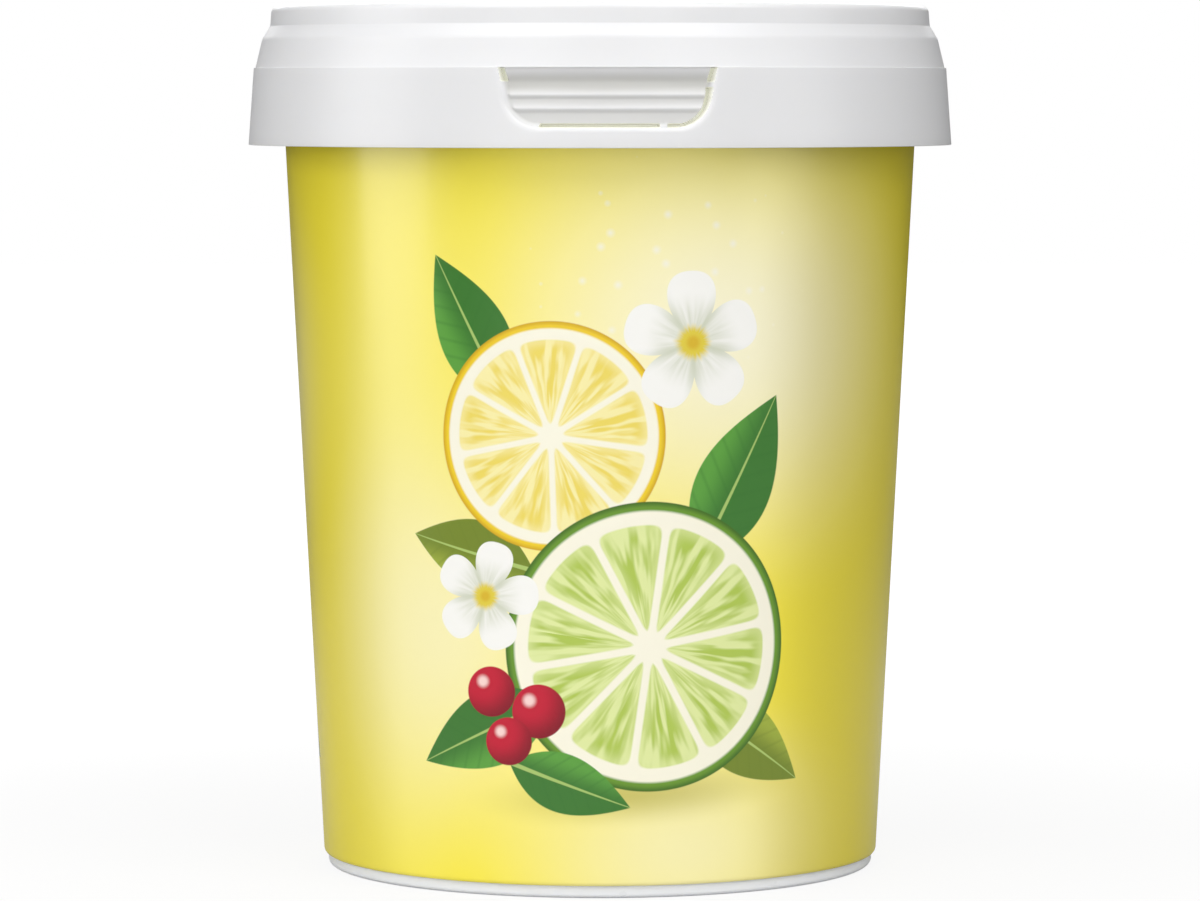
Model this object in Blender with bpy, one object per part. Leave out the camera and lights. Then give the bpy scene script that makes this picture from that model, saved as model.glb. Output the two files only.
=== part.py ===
"""A shut, round plastic sorbet tub: a tapered tub, its printed wrap label and a press-on lid with a
tear-open tab.

Metres, +Z up. The origin is the centre of the foot ring, on the surface that the tub stands on, and
the tab faces -Y. The lid's wall is drawn flat, with x along the arc, y as minus the radius and z up,
because its window, tab and bridges are plain prisms there. It is then sliced and rolled up round Z.
"""

import math

import bmesh
import bpy

MM = 0.001

# Overall sizes
TOTAL_HEIGHT = 144.2 * MM
LID_BOTTOM_Z = 121.1 * MM
LID_BOTTOM_R = 59.0 * MM
SEGMENTS = 96

# Foot ring, with the shallow recess inside it
FOOT_INNER_R = 43.4 * MM
FOOT_OUTER_R = 45.9 * MM
FOOT_HEIGHT = 1.5 * MM
FOOT_EDGE = 0.8 * MM
RECESS_HEIGHT = 1.6 * MM
GATE_R = 2.4 * MM
GATE_DROP = 0.6 * MM

# Tapered wall of the tub, and the label that covers it
WALL_START_Z = 2.3 * MM
WALL_START_R = 45.91 * MM
WALL_TAPER = 0.0518
FIT_GAP = 0.3 * MM
LABEL_THICKNESS = 0.45 * MM
LABEL_BOTTOM_Z = 2.1 * MM
LABEL_TOP_Z = 123.0 * MM
LABEL_EDGE = 0.35 * MM
LABEL_SEAM = 0.8 * MM

# Collar that the lid's skirt hides, and the rim that the lid clips over
COLLAR_R = 56.2 * MM
COLLAR_LIP = 1.0 * MM
COLLAR_BOTTOM_Z = 123.6 * MM
COLLAR_WEB_Z = 125.4 * MM
COLLAR_TOP_Z = 126.4 * MM
FILL_Z = 139.1 * MM
RIM_INNER_R = 51.9 * MM
RIM_OUTER_R = 53.6 * MM
RIM_BEAD = 1.6 * MM
RIM_Z = 142.0 * MM

# Top of the lid: a sunk panel inside the stacking ring
PANEL_Z = 140.6 * MM
PANEL_UNDER_Z = 139.5 * MM
PANEL_R = 49.0 * MM
DISC_R = 43.5 * MM
DISC_RISE = 0.35 * MM
RING_INNER_R = 50.5 * MM
RING_OUTER_R = 55.05 * MM
RING_FOOT_R = 55.3 * MM
RING_FOOT_Z = 140.9 * MM
RING_EDGE = 1.1 * MM

# Shoulder and skirt of the lid
SHOULDER_Z = 138.8 * MM
SHOULDER_R = 56.62 * MM
STEP_Z = 133.9 * MM
STEP_R = 57.8 * MM
SKIRT_TOP_R = 58.08 * MM
LID_WALL = 1.05 * MM
CHANNEL_R = 54.05 * MM
CHANNEL_TOP_Z = 142.45 * MM
CHANNEL_INNER_R = 51.5 * MM

# Window in the skirt, in arc lengths from its middle
UNROLL_R = 58.6 * MM
WINDOW_TOP_Z = 133.92 * MM
WINDOW_BOTTOM_Z = 124.4 * MM
WINDOW_CORNER_X = 11.1 * MM
WINDOW_CORNER_R = 5.8 * MM
WINDOW_SIDE_TILT = math.radians(11.5)
WINDOW_LIP = 0.9 * MM
WINDOW_LIP_DEPTH = 0.65 * MM

# Tear-open tab inside the window: how far its face lies inside the skirt's line, and its grip ribs
TAB_SIDE_GAP = 0.95 * MM
TAB_BOTTOM_GAP = 0.5 * MM
TAB_THICKNESS = 1.0 * MM
TAB_TOP_DEPTH = 0.42 * MM
TAB_HOLLOW = 1.6 * MM
TAB_LOWER_DEPTH = 0.9 * MM
TAB_HOLLOW_Z = 131.4 * MM
TAB_LEVEL_Z = 128.6 * MM
TAB_ROOT_Z = 134.7 * MM
TAB_ROOT_R = (56.65 * MM, 57.35 * MM)
TAB_STATIONS = 32
RIB_HEIGHT = 0.35 * MM
RIB_SLOPE = 1.3 * MM
RIB_UNDERCUT = 0.5 * MM
RIBS_Z = (129.65 * MM, 127.45 * MM)

# Web that holds the tab's left side, and the small bridges that tear
BRIDGE_OVERLAP = 0.3 * MM
WEB_END_X = -11.0 * MM
FOOT_BRIDGE_X = (8.3 * MM, 9.6 * MM)
SIDE_BRIDGE_Z = (130.6 * MM, 131.6 * MM)
SIDE_BRIDGE_X = (16.2 * MM, 18.1 * MM)
SIDE_BRIDGE_DEPTHS = (0.55 * MM, 1.95 * MM)

WELD = 1e-6
FULL_TURN = 2 * math.pi * UNROLL_R
SHARP_ANGLE = math.radians(32)


def clear_scene():
    """Removes whatever the file opened with."""
    for old in list(bpy.data.objects):
        bpy.data.objects.remove(old)


def filleted(corners, steps=3):
    """Turns (r, z, fillet radius) corners into an outline with an arc at each rounded corner."""
    outline = []
    count = len(corners)
    for index, (r, z, radius) in enumerate(corners):
        if radius == 0:
            outline.append((r, z))
            continue
        before = corners[index - 1]
        after = corners[(index + 1) % count]
        back = unit(before[0] - r, before[1] - z)
        ahead = unit(after[0] - r, after[1] - z)
        half = math.acos(max(-1, min(1, back[0] * ahead[0] + back[1] * ahead[1]))) / 2
        inward = unit(back[0] + ahead[0], back[1] + ahead[1])
        centre = [at + way * radius / math.sin(half) for at, way in zip((r, z), inward)]
        reach = radius / math.tan(half)
        start = math.atan2(z + back[1] * reach - centre[1], r + back[0] * reach - centre[0])
        end = math.atan2(z + ahead[1] * reach - centre[1], r + ahead[0] * reach - centre[0])
        sweep = (end - start + math.pi) % (2 * math.pi) - math.pi
        for step in range(steps + 1):
            angle = start + sweep * step / steps
            outline.append((centre[0] + radius * math.cos(angle), centre[1] + radius * math.sin(angle)))
    return outline


def unit(x, y):
    """The direction of (x, y)."""
    length = math.hypot(x, y)
    return x / length, y / length


def wall_radius(z):
    """Outer radius of the tub's own wall at height z."""
    return WALL_START_R + WALL_TAPER * (z - WALL_START_Z)


def skirt_radius(z):
    """Outer radius of the lid's skirt at height z, and of its line carried on above and below."""
    share = (z - LID_BOTTOM_Z) / (STEP_Z - LID_BOTTOM_Z)
    return LID_BOTTOM_R + share * (SKIRT_TOP_R - LID_BOTTOM_R)


def tub_profile():
    """Half section of the filled tub, from the middle of its underside round to the middle of its top."""
    foot_middle = (FOOT_INNER_R + FOOT_OUTER_R) / 2
    return filleted([
        (0, RECESS_HEIGHT - GATE_DROP, 0),
        (GATE_R, RECESS_HEIGHT - GATE_DROP, 0),
        (GATE_R, RECESS_HEIGHT, 0),
        (FOOT_INNER_R - RECESS_HEIGHT / 2, RECESS_HEIGHT, 0),
        (FOOT_INNER_R, 0, 0),
        (foot_middle, 0, 0),
        (FOOT_OUTER_R, 0, FOOT_EDGE),
        (FOOT_OUTER_R, FOOT_HEIGHT, 0),
        (WALL_START_R, WALL_START_Z, 0),
        (wall_radius(COLLAR_WEB_Z), COLLAR_WEB_Z, 0),
        (COLLAR_R - COLLAR_LIP, COLLAR_WEB_Z, 0),
        (COLLAR_R - COLLAR_LIP, COLLAR_BOTTOM_Z, 0),
        (COLLAR_R, COLLAR_BOTTOM_Z, 0),
        (COLLAR_R, COLLAR_TOP_Z, 0),
        (wall_radius(COLLAR_TOP_Z), COLLAR_TOP_Z, 0),
        (wall_radius(RIM_Z - RIM_BEAD), RIM_Z - RIM_BEAD, 0),
        (RIM_OUTER_R, RIM_Z - RIM_BEAD, 0),
        (RIM_OUTER_R, RIM_Z, 0),
        (RIM_INNER_R, RIM_Z, 0),
        (RIM_INNER_R, FILL_Z, 0),
        (0, FILL_Z, 0),
    ])


def label_profile():
    """Section of the label's film, a fit gap outside the wall, with its lower outer edge turned in."""
    def film(z, depth):
        return wall_radius(z) + FIT_GAP + LABEL_THICKNESS - depth

    edge_z = LABEL_BOTTOM_Z + LABEL_EDGE * 2
    return [
        (film(LABEL_BOTTOM_Z, LABEL_THICKNESS), LABEL_BOTTOM_Z),
        (film(LABEL_BOTTOM_Z, LABEL_EDGE), LABEL_BOTTOM_Z),
        (film(edge_z, 0), edge_z),
        (film(LABEL_TOP_Z, 0), LABEL_TOP_Z),
        (film(LABEL_TOP_Z, LABEL_THICKNESS), LABEL_TOP_Z),
    ]


def lid_profile():
    """Half section of the lid, from the middle of its panel over the ring and shoulder and back inside."""
    inner_top_z = STEP_Z - LID_WALL / 2
    return filleted([
        (0, PANEL_Z - GATE_DROP / 2, 0),
        (GATE_R, PANEL_Z - GATE_DROP / 2, 0),
        (GATE_R, PANEL_Z + DISC_RISE, 0),
        (DISC_R, PANEL_Z + DISC_RISE, 0),
        (DISC_R + DISC_RISE, PANEL_Z, 0),
        (PANEL_R, PANEL_Z, 0),
        (RING_INNER_R, TOTAL_HEIGHT, RING_EDGE),
        (RING_OUTER_R, TOTAL_HEIGHT, RING_EDGE),
        (RING_FOOT_R, RING_FOOT_Z, 0),
        (SHOULDER_R, SHOULDER_Z, 2.6 * MM),
        (STEP_R, STEP_Z + 0.05 * MM, 0),
        (SKIRT_TOP_R, STEP_Z, 0.18 * MM),
        (LID_BOTTOM_R, LID_BOTTOM_Z, 0),
        (LID_BOTTOM_R - LID_WALL, LID_BOTTOM_Z, 0),
        (SKIRT_TOP_R - LID_WALL, inner_top_z, 0),
        (SHOULDER_R - LID_WALL * 0.8, SHOULDER_Z - LID_WALL, 1.6 * MM),
        (CHANNEL_R, RING_FOOT_Z - LID_WALL, 0),
        (CHANNEL_R, CHANNEL_TOP_Z, 0),
        (CHANNEL_INNER_R, CHANNEL_TOP_Z, 0),
        (CHANNEL_INNER_R, PANEL_UNDER_Z, 0),
        (0, PANEL_UNDER_Z, 0),
    ])


def side_x(z, growth, drop=0):
    """Arc position of the window's straight right side at height z, once grown outwards and dropped."""
    rise = z + drop - WINDOW_BOTTOM_Z - WINDOW_CORNER_R
    radius = WINDOW_CORNER_R + growth
    return WINDOW_CORNER_X + (radius + rise * math.sin(WINDOW_SIDE_TILT)) / math.cos(WINDOW_SIDE_TILT)


def corner_arc(growth, drop=0, steps=6):
    """The window's lower right corner, grown and dropped, as (x, z) points from the bottom up to the side."""
    radius = WINDOW_CORNER_R + growth
    centre_z = WINDOW_BOTTOM_Z + WINDOW_CORNER_R - drop
    return [(WINDOW_CORNER_X + radius * math.cos(angle), centre_z - radius * math.sin(angle))
            for angle in spread(math.pi / 2, WINDOW_SIDE_TILT, steps)]


def mirrored(points):
    """The (x, z) points on the other side of the middle, in the opposite order."""
    return [(-x, z) for x, z in reversed(points)]


def spread(start, end, steps):
    """Values from start to end in equal steps."""
    return [start + (end - start) * step / steps for step in range(steps + 1)]


def window_outline(growth):
    """Outline of the window, grown outwards, as (x, z) points from its top left round to its top right."""
    right = [*corner_arc(growth), (side_x(WINDOW_TOP_Z, growth), WINDOW_TOP_Z)]
    return mirrored(right) + right


def tab_outline():
    """Outline of the tab, with the web on its left and the bridges on its right, anticlockwise from there."""
    drop = TAB_SIDE_GAP - TAB_BOTTOM_GAP
    top_z = TAB_ROOT_Z + MM
    bridge_low, bridge_high = SIDE_BRIDGE_Z
    tab_foot = WINDOW_BOTTOM_Z + TAB_BOTTOM_GAP
    web_foot = WINDOW_BOTTOM_Z - BRIDGE_OVERLAP
    foot_in, foot_out = FOOT_BRIDGE_X
    corner = corner_arc(-TAB_SIDE_GAP, drop)
    web_corner = corner_arc(BRIDGE_OVERLAP)
    right = [
        (foot_in, tab_foot), (foot_in, web_foot), (foot_out, web_foot), (foot_out, tab_foot),
        *corner,
        (side_x(top_z, -TAB_SIDE_GAP, drop), top_z),
    ]
    left = [
        (-side_x(top_z, -TAB_SIDE_GAP, drop), top_z),
        (-side_x(bridge_high, -TAB_SIDE_GAP, drop), bridge_high),
        (-side_x(bridge_high, BRIDGE_OVERLAP), bridge_high),
        *mirrored(web_corner),
        (WEB_END_X, web_foot), (WEB_END_X, tab_foot),
    ]
    return right + left


def eased(share):
    """Smooth step from 0 to 1."""
    share = max(0, min(1, share))
    return (1 - math.cos(math.pi * share)) / 2


def tab_depth(z):
    """How far the tab's face lies inside the line of the skirt at height z, before its ribs."""
    if z > TAB_HOLLOW_Z:
        share = (WINDOW_TOP_Z - z) / (WINDOW_TOP_Z - TAB_HOLLOW_Z)
        return TAB_TOP_DEPTH + (TAB_HOLLOW - TAB_TOP_DEPTH) * eased(share)
    share = (TAB_HOLLOW_Z - z) / (TAB_HOLLOW_Z - TAB_LEVEL_Z)
    return TAB_HOLLOW + (TAB_LOWER_DEPTH - TAB_HOLLOW) * eased(share)


def rib(z):
    """How far the grip ribs stand out at height z: each slopes out to a crest and is undercut below it."""
    height = 0
    for crest_z in RIBS_Z:
        above = z - crest_z
        if 0 <= above < RIB_SLOPE:
            height = RIB_HEIGHT * (1 - above / RIB_SLOPE)
        elif -RIB_UNDERCUT < above < 0:
            height = RIB_HEIGHT * (1 + above / RIB_UNDERCUT)
    return height


def tab_profile():
    """Section of the tab, as (radius, z): its ribbed face down and its plain back up, rooted in the shoulder."""
    foot_z = WINDOW_BOTTOM_Z - 2 * BRIDGE_OVERLAP
    heights = spread(WINDOW_TOP_Z, foot_z, TAB_STATIONS)
    face = [(skirt_radius(z) - tab_depth(z) + rib(z), z) for z in heights]
    back = [(skirt_radius(z) - tab_depth(z) - TAB_THICKNESS, z) for z in reversed(heights[::4])]
    root_inner, root_outer = TAB_ROOT_R
    return [(root_outer, TAB_ROOT_Z), *face, *back, (root_inner, TAB_ROOT_Z)]


def rolled_out(name, section, start_x, end_x):
    """A flat prism: the (radius, z) section, carried along the arc from start_x to end_x."""
    return prism(name, [(start_x, -r, z) for r, z in section], (end_x - start_x, 0, 0))


def prism(name, corners, along):
    """An object that is the outline of corners, swept along a vector."""
    bm = bmesh.new()
    face = bm.faces.new([bm.verts.new(corner) for corner in corners])
    swept = bmesh.ops.extrude_face_region(bm, geom=[face])["geom"]
    moved = [part for part in swept if isinstance(part, bmesh.types.BMVert)]
    bmesh.ops.translate(bm, verts=moved, vec=along)
    return closed_object(name, bm)


def loft(name, loops):
    """A closed object through loops of as many points each, capped at both ends."""
    bm = bmesh.new()
    rings = [[bm.verts.new(point) for point in loop] for loop in loops]
    count = len(rings[0])
    for here, there in zip(rings, rings[1:]):
        for index in range(count):
            after = (index + 1) % count
            bm.faces.new((here[index], here[after], there[after], there[index]))
    bm.faces.new(rings[0])
    bm.faces.new(rings[-1])
    return closed_object(name, bm)


def closed_object(name, bm):
    """An object of the closed bmesh, with its faces turned outwards."""
    bmesh.ops.recalc_face_normals(bm, faces=bm.faces)
    mesh = bpy.data.meshes.new(name)
    bm.to_mesh(mesh)
    bm.free()
    made = bpy.data.objects.new(name, mesh)
    bpy.context.scene.collection.objects.link(made)
    return made


def combined(first, second, operation):
    """The first object after a Boolean with the second, which is then removed."""
    boolean = first.modifiers.new("join", "BOOLEAN")
    boolean.operation = operation
    boolean.object = second
    boolean.solver = "EXACT"
    bpy.context.view_layer.update()
    evaluated = first.evaluated_get(bpy.context.evaluated_depsgraph_get())
    mesh = bpy.data.meshes.new_from_object(evaluated)
    first.modifiers.clear()
    first.data = mesh
    bpy.data.objects.remove(second)
    return first


def rolled_up(flat, name, closed_ring):
    """Slices the flat object across its arc and rolls it round Z; a closed ring is welded at the back."""
    bm = bmesh.new()
    bm.from_mesh(flat.data)
    for index in range(1, SEGMENTS):
        plane_x = FULL_TURN * (index / SEGMENTS - 0.5)
        bmesh.ops.bisect_plane(bm, geom=bm.verts[:] + bm.edges[:] + bm.faces[:], dist=WELD,
                               plane_co=(plane_x, 0, 0), plane_no=(1, 0, 0))
    if closed_ring:
        hidden = [face for face in bm.faces
                  if all(abs(abs(vert.co.x) - FULL_TURN / 2) < WELD for vert in face.verts)
                  or all(abs(vert.co.y) < WELD for vert in face.verts)]
        bmesh.ops.delete(bm, geom=hidden, context="FACES")
    for vert in bm.verts:
        angle = vert.co.x / UNROLL_R
        radius = -vert.co.y
        vert.co = (radius * math.sin(angle), -radius * math.cos(angle), vert.co.z)
    bmesh.ops.remove_doubles(bm, verts=bm.verts, dist=WELD)
    bpy.data.objects.remove(flat)
    return closed_object(name, bm)


def full_turn(name, section):
    """A solid of revolution of the (radius, z) section, sliced like the lid."""
    flat = rolled_out(name + "_flat", section, -FULL_TURN / 2, FULL_TURN / 2)
    return rolled_up(flat, name, True)


def make_tub():
    """The tub with what fills it, as one solid, because a shut pack can't be seen into."""
    return full_turn("tub", tub_profile())


def make_label():
    """The label's film, open by a narrow seam at the back."""
    seam_x = (math.pi - LABEL_SEAM / 2 / wall_radius(LABEL_TOP_Z)) * UNROLL_R
    flat = rolled_out("label_flat", label_profile(), -seam_x, seam_x)
    return rolled_up(flat, "label", False)


def window_cutter():
    """Cutter for the window, whose mouth flares into a rounded lip all round but at its top."""
    outside, inside = -1.5 * MM, 3.0 * MM
    start = -0.04 * MM
    stations = [(WINDOW_LIP, outside)]
    for angle in spread(0, math.pi / 2, 4):
        depth = start + (WINDOW_LIP_DEPTH - start) * (1 - math.cos(angle))
        stations.append((WINDOW_LIP * (1 - math.sin(angle)), depth))
    stations.append((0, inside))
    return loft("window", [
        [(x, depth - skirt_radius(z), z) for x, z in window_outline(growth)]
        for growth, depth in stations
    ])


def make_tab():
    """The tab, its web and its foot bridge: one ribbed sheet cut to outline."""
    reach = SIDE_BRIDGE_X[1] + 2 * MM
    sheet = rolled_out("tab", tab_profile(), -reach, reach)
    front = -(LID_BOTTOM_R + 2 * MM)
    plan = prism("tab_plan", [(x, front, z) for x, z in tab_outline()], (0, 7 * MM, 0))
    return combined(sheet, plan, "INTERSECT")


def make_side_bridge(side):
    """The bridge across the slot beside the tab; side is -1 on its left and 1 on its right."""
    start, end = sorted(side * x for x in SIDE_BRIDGE_X)
    near, far = SIDE_BRIDGE_DEPTHS
    corners = [(x, near - skirt_radius(z), z) for z in SIDE_BRIDGE_Z for x in (start, end)]
    corners[2], corners[3] = corners[3], corners[2]
    return prism("side_bridge", corners, (0, far - near, 0))


def make_lid():
    """The lid with its window, tab and bridges, drawn flat and then rolled up."""
    flat = rolled_out("lid_flat", lid_profile(), -FULL_TURN / 2, FULL_TURN / 2)
    flat = combined(flat, window_cutter(), "DIFFERENCE")
    flat = combined(flat, make_tab(), "UNION")
    for side in (-1, 1):
        flat = combined(flat, make_side_bridge(side), "UNION")
    return rolled_up(flat, "lid", True)


def finish(made, colour, roughness):
    """Gives the object its own plastic, and smooth shading with its edges kept sharp."""
    plastic = bpy.data.materials.new(made.name + "_plastic")
    plastic.use_nodes = True
    shader = plastic.node_tree.nodes["Principled BSDF"]
    shader.inputs["Base Color"].default_value = (*colour, 1)
    shader.inputs["Roughness"].default_value = roughness
    shader.inputs["Metallic"].default_value = 0
    made.data.materials.append(plastic)
    made.data.shade_smooth()
    made.data.set_sharp_from_angle(angle=SHARP_ANGLE)


def main():
    """Builds the three pieces."""
    clear_scene()
    finish(make_tub(), (0.80, 0.80, 0.80), 0.35)
    finish(make_label(), (0.86, 0.73, 0.09), 0.3)
    finish(make_lid(), (0.82, 0.82, 0.82), 0.32)


main()
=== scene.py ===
"""Visual model of a shut sorbet tub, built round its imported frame.

The tub stands on z = 0 with its tear-open tab towards -Y. Lengths are metres. The label's print is laid
out in millimetres on the unrolled label: across is the arc from the middle of the front, and up is the
height above the surface that the tub stands on.
"""

import logging
import math
from dataclasses import dataclass, field
from enum import Enum

import bmesh
import bpy
import numpy as np
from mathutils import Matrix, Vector


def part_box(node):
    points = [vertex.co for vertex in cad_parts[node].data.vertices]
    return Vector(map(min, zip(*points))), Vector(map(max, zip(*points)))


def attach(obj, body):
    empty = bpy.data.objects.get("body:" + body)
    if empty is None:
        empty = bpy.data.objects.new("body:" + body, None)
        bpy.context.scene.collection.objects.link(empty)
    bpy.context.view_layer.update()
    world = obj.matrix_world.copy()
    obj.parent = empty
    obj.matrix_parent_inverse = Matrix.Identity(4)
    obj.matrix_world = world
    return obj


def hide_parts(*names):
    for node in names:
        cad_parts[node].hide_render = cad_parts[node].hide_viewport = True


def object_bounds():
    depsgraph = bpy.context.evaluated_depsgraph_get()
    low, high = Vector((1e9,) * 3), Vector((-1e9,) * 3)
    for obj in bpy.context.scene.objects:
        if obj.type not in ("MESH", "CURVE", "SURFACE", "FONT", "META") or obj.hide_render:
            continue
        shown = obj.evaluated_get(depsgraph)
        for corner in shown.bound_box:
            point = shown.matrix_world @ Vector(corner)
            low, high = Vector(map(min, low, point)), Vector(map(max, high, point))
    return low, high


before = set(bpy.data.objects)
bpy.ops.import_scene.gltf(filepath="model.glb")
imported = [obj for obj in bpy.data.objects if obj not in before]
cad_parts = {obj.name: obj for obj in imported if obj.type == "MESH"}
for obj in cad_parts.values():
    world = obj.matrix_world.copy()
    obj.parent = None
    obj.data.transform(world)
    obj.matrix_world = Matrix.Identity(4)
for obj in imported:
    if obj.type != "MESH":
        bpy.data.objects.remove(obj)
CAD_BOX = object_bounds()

MM = 0.001
PRINT_EDGE = 0.16  # how far a printed edge fades, in millimetres
FULL_TURN = 2 * math.pi
ROOT = "root"
LOG = logging.getLogger("sorbet tub")

Colour = tuple[float, float, float]
Outline = list[tuple[float, float]]
WHITE: Colour = (1, 1, 1)


class Solid(Enum):
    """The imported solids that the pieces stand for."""

    TUB = "tub"
    LABEL = "label"
    LID = "lid"

    @property
    def low(self) -> Vector:
        """Lowest corner of the solid's box."""
        return Vector(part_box(self.value)[0])

    @property
    def high(self) -> Vector:
        """Highest corner of the solid's box."""
        return Vector(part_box(self.value)[1])


def ink(red: float, green: float, blue: float) -> Colour:
    """Linear colour of a screen colour given in steps of 0 to 255."""
    return tuple(screen_to_linear(part / 255) for part in (red, green, blue))


def screen_to_linear(part: float) -> float:
    """Linear value of one screen channel from 0 to 1."""
    return part / 12.92 if part <= 0.04045 else ((part + 0.055) / 1.055) ** 2.4


# Shader expressions


class Wire:
    """What comes out of a node's socket, for use in expressions."""

    def __init__(self, sheet: "NodeSheet", socket: bpy.types.NodeSocket) -> None:
        """Holds the socket and the sheet it is on."""
        self.sheet = sheet
        self.socket = socket

    def __add__(self, other: "Wire | float") -> "Wire":
        """Sum."""
        return self.sheet.math("ADD", self, other)

    __radd__ = __add__

    def __sub__(self, other: "Wire | float") -> "Wire":
        """Difference."""
        return self.sheet.math("SUBTRACT", self, other)

    def __rsub__(self, other: float) -> "Wire":
        """Difference from a number."""
        return self.sheet.math("SUBTRACT", other, self)

    def __mul__(self, other: "Wire | float") -> "Wire":
        """Product."""
        return self.sheet.math("MULTIPLY", self, other)

    __rmul__ = __mul__

    def __truediv__(self, other: "Wire | float") -> "Wire":
        """Quotient."""
        return self.sheet.math("DIVIDE", self, other)

    def __abs__(self) -> "Wire":
        """Size without its sign."""
        return self.sheet.math("ABSOLUTE", self)

    def fraction(self) -> "Wire":
        """What is left above the next whole number down."""
        return self.sheet.math("FRACT", self)

    def most(self, other: "Wire | float") -> "Wire":
        """The larger of the two."""
        return self.sheet.math("MAXIMUM", self, other)

    def blended_least(self, other: "Wire | float", width: float) -> "Wire":
        """The smaller of the two, rounded off over a width where they meet."""
        return self.sheet.math("SMOOTH_MIN", self, other, width)


class NodeSheet:
    """The node tree of one material or world."""

    def __init__(self, tree: bpy.types.NodeTree) -> None:
        """Starts on an empty tree."""
        self.tree = tree
        tree.nodes.clear()

    def add(self, kind: str, settings: dict | None = None, sockets: dict | None = None,
            output: str | int = 0) -> Wire | None:
        """Adds a node.

        Args:
            kind: The node's type.
            settings: Its own settings, by name, set first.
            sockets: A value or wire for each input, by name or number.
            output: The output that is wanted, by name or number.

        Returns:
            The wire from that output, or None from a node that ends a tree.
        """
        node = self.tree.nodes.new(kind)
        for name, value in (settings or {}).items():
            setattr(node, name, value)
        for name, value in (sockets or {}).items():
            self._feed(node.inputs[name], value)
        return Wire(self, node.outputs[output]) if node.outputs else None

    def _feed(self, socket: bpy.types.NodeSocket, value: Wire | float | tuple) -> None:
        """Links a wire to the socket, or sets its value."""
        if isinstance(value, Wire):
            self.tree.links.new(value.socket, socket)
        elif socket.type == "RGBA" and len(value) == 3:
            socket.default_value = (*value, 1)
        else:
            socket.default_value = value

    def math(self, operation: str, *values: Wire | float, clamp: bool = False) -> Wire:
        """Adds a Math node.

        Args:
            operation: Its operation.
            values: Its inputs in order.
            clamp: Whether the result is kept between 0 and 1.

        Returns:
            The result.
        """
        settings = {"operation": operation, "use_clamp": clamp}
        return self.add("ShaderNodeMath", settings, dict(enumerate(values)))

    def mix(self, first: Wire | Colour, second: Wire | Colour, share: Wire | float) -> Wire:
        """The first colour, giving way to the second by a share from 0 to 1."""
        settings = {"data_type": "RGBA", "blend_type": "MIX", "clamp_factor": True}
        return self.add("ShaderNodeMix", settings, {0: share, 6: first, 7: second}, 2)

    def shade(self, colour: Wire | Colour, tint: Colour, share: Wire | float) -> Wire:
        """The colour multiplied by a tint, by a share from 0 to 1."""
        settings = {"data_type": "RGBA", "blend_type": "MULTIPLY", "clamp_factor": True}
        return self.add("ShaderNodeMix", settings, {0: share, 6: colour, 7: tint}, 2)

    def object_point(self) -> Wire:
        """Place on the object, in metres."""
        return self.add("ShaderNodeTexCoord", output="Object")

    def split(self, vector: Wire) -> tuple[Wire, Wire, Wire]:
        """The x, y and z of a vector."""
        parts = self.add("ShaderNodeSeparateXYZ", sockets={0: vector}, output="X")
        outputs = parts.socket.node.outputs
        return parts, Wire(self, outputs["Y"]), Wire(self, outputs["Z"])

    def joined(self, x: Wire, y: Wire) -> Wire:
        """The vector of x and y."""
        return self.add("ShaderNodeCombineXYZ", sockets={0: x, 1: y})

    def length(self, vector: Wire) -> Wire:
        """Length of a vector."""
        return self.add("ShaderNodeVectorMath", {"operation": "LENGTH"}, {0: vector}, "Value")

    def noise(self, vector: Wire, scale: float, detail: float, flat: bool = False) -> Wire:
        """Soft noise from 0 to 1 at a scale in features per unit; flat noise ignores z."""
        settings = {"noise_dimensions": "2D" if flat else "3D"}
        sockets = {"Vector": vector, "Scale": scale, "Detail": detail}
        return self.add("ShaderNodeTexNoise", settings, sockets, "Fac")

    def ramp(self, value: Wire, start: float, end: float, low: float = 0, high: float = 1) -> Wire:
        """A smooth step of the value, from low at start to high at end."""
        if end < start:
            start, end, low, high = end, start, high, low
        return self.add("ShaderNodeMapRange", {"interpolation_type": "SMOOTHSTEP"}, {
            "Value": value, "From Min": start, "From Max": end, "To Min": low, "To Max": high})

    def bump(self, height: Wire, distance: float, strength: float) -> Wire:
        """A normal that is bumped by a height from 0 to 1, over a depth in metres."""
        sockets = {"Height": height, "Distance": distance, "Strength": strength}
        return self.add("ShaderNodeBump", sockets=sockets)


def new_material(name: str) -> tuple[bpy.types.Material, NodeSheet]:
    """An empty node material and its sheet."""
    material = bpy.data.materials.new(name)
    material.use_nodes = True
    return material, NodeSheet(material.node_tree)


# The print on the label


class Inks:
    """Colours of the print and its field."""

    LEMON = ink(251, 235, 66)
    GOLD = ink(226, 205, 66)
    CREAM = ink(252, 247, 214)
    PALE = ink(252, 243, 160)
    PITH = ink(252, 248, 228)
    RIND = ink(240, 206, 40)
    RIND_SHADE = ink(214, 168, 26)
    JUICE = ink(240, 218, 98)
    JUICE_LIGHT = ink(251, 240, 172)
    LIME = ink(176, 200, 84)
    LIME_LIGHT = ink(226, 236, 164)
    LIME_RIND = ink(104, 150, 44)
    LIME_RIND_SHADE = ink(66, 108, 30)
    LEAF = ink(92, 160, 62)
    LEAF_DARK = ink(52, 112, 42)
    OLIVE = ink(160, 176, 60)
    OLIVE_DARK = ink(108, 128, 36)
    VEIN = ink(186, 212, 120)
    PETAL = ink(250, 249, 244)
    PETAL_SHADE = ink(208, 212, 190)
    CRIMSON = ink(196, 20, 50)
    CRIMSON_DARK = ink(120, 6, 28)
    GLINT = ink(255, 226, 220)
    SHADOW = ink(168, 160, 40)


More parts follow.
